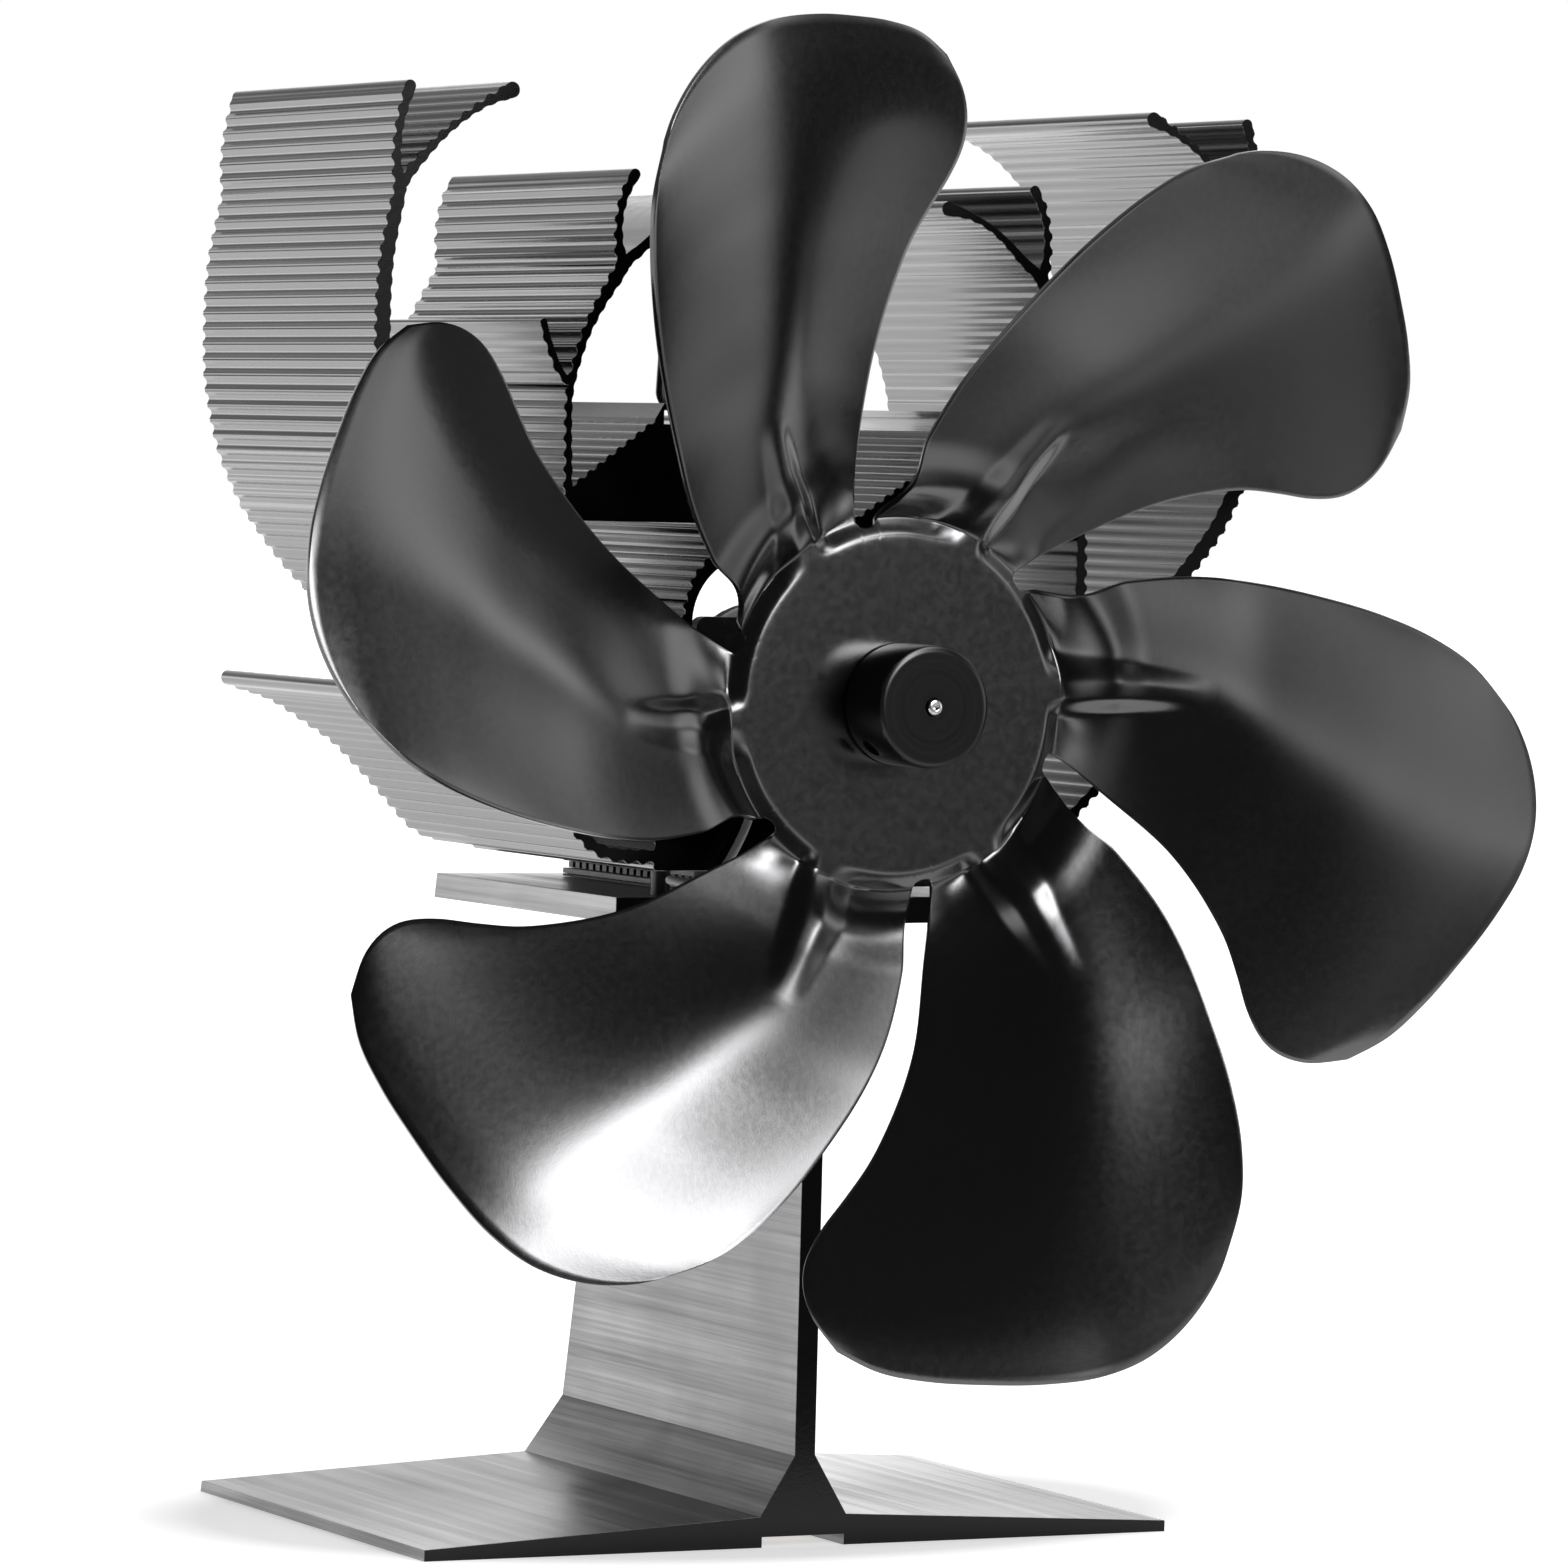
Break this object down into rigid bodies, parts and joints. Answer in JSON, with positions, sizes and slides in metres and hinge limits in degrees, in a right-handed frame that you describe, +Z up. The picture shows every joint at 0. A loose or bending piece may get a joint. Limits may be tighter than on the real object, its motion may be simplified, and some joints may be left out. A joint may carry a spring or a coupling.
{
  "type": "stove fan",
  "caption": "Self-powered fan for the top of a stove: a dark stand, a black ribbed heat sink with curved arms, and a black pressed fan wheel.",
  "frame": {"origin": "on the surface that the fan stands on, below the middle of its whole width and depth", "axes": "+Z up; the air leaves towards -Y; +X to the right as seen from the front"},
  "size_m": [0.1768, 0.1094, 0.1987],
  "materials": {
    "stand_aluminium": "brushed dark grey",
    "sink_black": "satin black anodised",
    "blade_black": "semi-gloss black anodised",
    "boss_black": "glossy black anodised",
    "plate_black": "satin black",
    "steel": "zinc plated",
    "steel_dark": "black oxide",
    "handle_wire": "drawn wire",
    "bimetal": "rolled",
    "thermal_pad": "matte",
    "module_plate": "white ceramic",
    "pellet_dark": "semiconductor pellets",
    "lead_sleeve": "silicone sleeve",
    "washer_plastic": "insulating washer",
    "motor_steel": "plated",
    "cap_plastic": "moulded",
    "bronze": "sintered",
    "ferrite": "ferrite magnet",
    "carbon": "carbon brush",
    "terminal_brass": "tinned",
    "copper": "enamelled copper"
  },
  "bodies": {
    "frame": {"stand": "stand_aluminium", "bimetal_strip": "bimetal", "strip_rivet": "steel", "heat_sink": "sink_black", "hot_pad": "thermal_pad", "module_hot_plate": "module_plate", "module_pellets": "pellet_dark", "module_cold_plate": "module_plate", "cold_pad": "thermal_pad", "module_lead_left": "lead_sleeve", "module_lead_right": "lead_sleeve", "clamp_screw_front": "steel", "clamp_screw_back": "steel", "clamp_washer_front": "washer_plastic", "clamp_washer_back": "washer_plastic", "motor_plate": "plate_black", "plate_screw_left": "steel", "plate_screw_right": "steel", "motor_screw_left": "steel", "motor_screw_right": "steel", "motor_can": "motor_steel", "motor_end_cap": "cap_plastic", "front_bush": "bronze", "rear_bush": "bronze", "magnet_upper": "ferrite", "magnet_lower": "ferrite", "brush_left": "carbon", "brush_right": "carbon", "terminal_left": "terminal_brass", "terminal_right": "terminal_brass"},
    "fan": {"fan_wheel": "blade_black", "hub_boss": "boss_black", "set_screw": "steel_dark", "motor_shaft": "steel", "armature_core": "motor_steel", "winding_a": "copper", "winding_b": "copper", "winding_c": "copper", "commutator": "copper"},
    "bail": {"handle": "handle_wire"}
  },
  "joints": [
    {"name": "fan_spin", "type": "hinge", "parent": "frame", "child": "fan", "pos_m": [0, -0.04, 0.1113], "axis": [0, -1, 0], "continuous": true},
    {"name": "handle_fold", "type": "hinge", "parent": "frame", "child": "bail", "pos_m": [0, 0.00904, 0.1488], "axis": [1, 0, 0], "range_deg": [-105, 105]}
  ]
}
